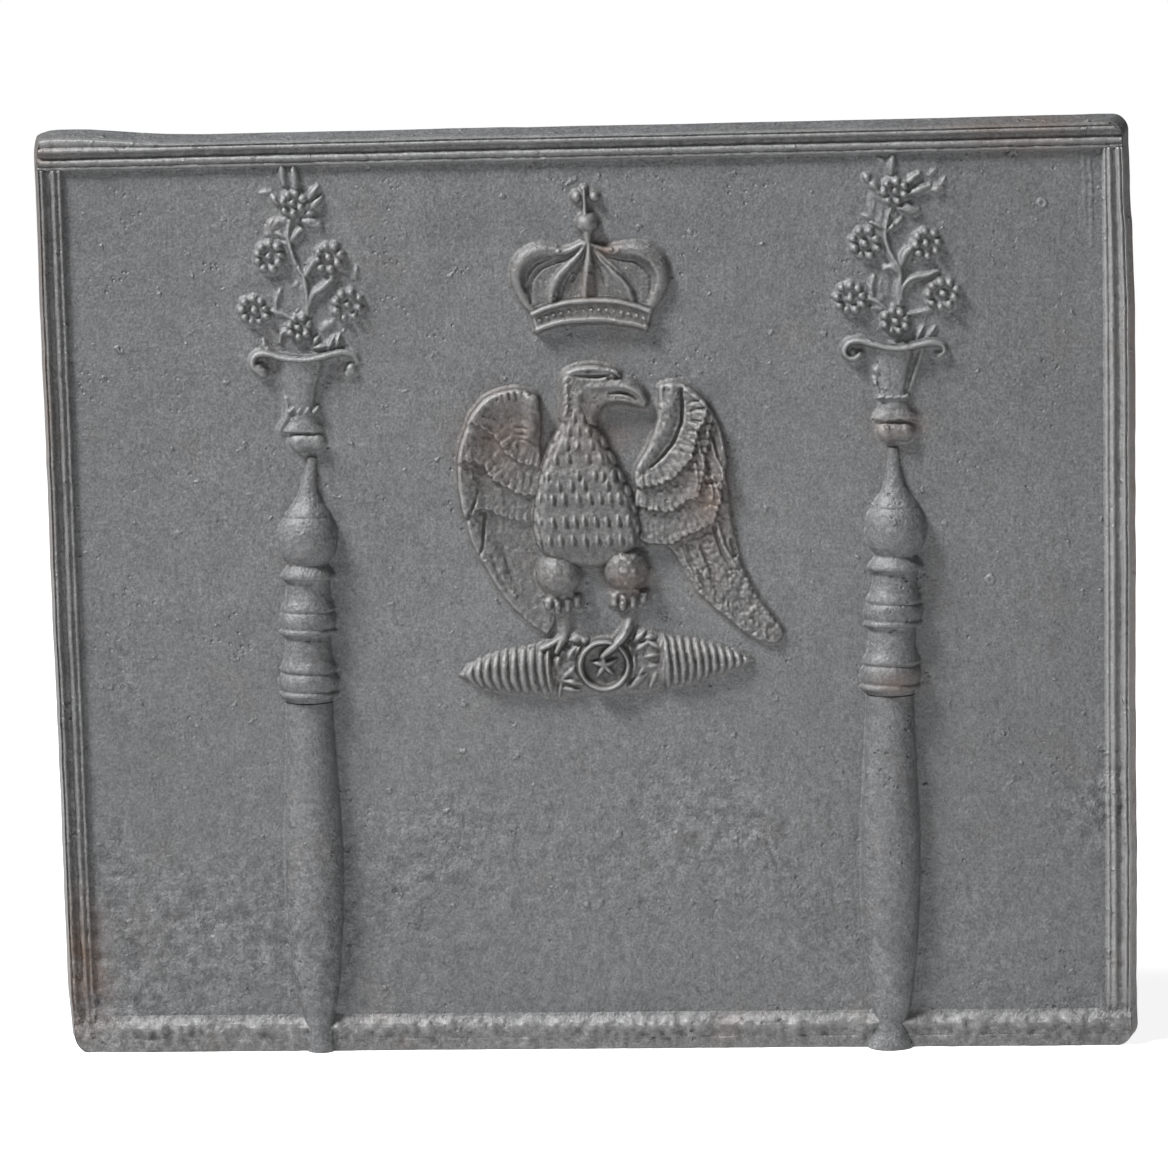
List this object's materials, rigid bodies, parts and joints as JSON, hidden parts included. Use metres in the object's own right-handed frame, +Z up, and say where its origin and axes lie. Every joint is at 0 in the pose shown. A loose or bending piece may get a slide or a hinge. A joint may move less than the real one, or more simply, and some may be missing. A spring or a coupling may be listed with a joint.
{
  "type": "fireback",
  "caption": "Rectangular cast-iron fireback with a reeded border, two turned pillars with flower baskets, a crown and an eagle on a thunderbolt in relief.",
  "frame": {"origin": "middle of the bottom edge, half way through the depth", "axes": "+Z up, -Y out of the ornamented front, +Y into the chimney wall, +X to the right of someone who faces the front"},
  "size_m": [0.6, 0.0279, 0.5147],
  "materials": {
    "field": "grey, graphited, with a sandy skin and light rust",
    "border": "grey, graphited, with a sandy skin and light rust",
    "pillar": "grey, graphited, with a sandy skin and light rust",
    "flowers": "grey, graphited, with a sandy skin and light rust",
    "emblem": "grey, graphited, with a sandy skin and light rust"
  },
  "bodies": {
    "root": {"plate": "field", "border_top": "border", "border_left": "border", "border_right": "border", "border_bottom": "border", "pillar_shaft_left": "pillar", "pillar_head_left": "pillar", "knob_left": "pillar", "basket_left": "flowers", "basket_rim_left": "flowers", "stems_left": "flowers", "flower_top_of_left_basket": "flowers", "flower_upper_left_of_left_basket": "flowers", "flower_upper_right_of_left_basket": "flowers", "flower_lower_left_of_left_basket": "flowers", "flower_lower_right_of_left_basket": "flowers", "flower_bottom_of_left_basket": "flowers", "pillar_shaft_right": "pillar", "pillar_head_right": "pillar", "knob_right": "pillar", "basket_right": "flowers", "basket_rim_right": "flowers", "stems_right": "flowers", "flower_top_of_right_basket": "flowers", "flower_upper_left_of_right_basket": "flowers", "flower_upper_right_of_right_basket": "flowers", "flower_lower_left_of_right_basket": "flowers", "flower_lower_right_of_right_basket": "flowers", "flower_bottom_of_right_basket": "flowers", "crown_band": "emblem", "crown_arches": "emblem", "crown_orb_and_cross": "emblem", "eagle_body": "emblem", "eagle_head": "emblem", "eagle_wing_left": "emblem", "eagle_leg_left": "emblem", "eagle_foot_left": "emblem", "bolt_left": "emblem", "eagle_wing_right": "emblem", "eagle_leg_right": "emblem", "eagle_foot_right": "emblem", "bolt_right": "emblem", "bolt_heart": "emblem"}
  },
  "joints": []
}
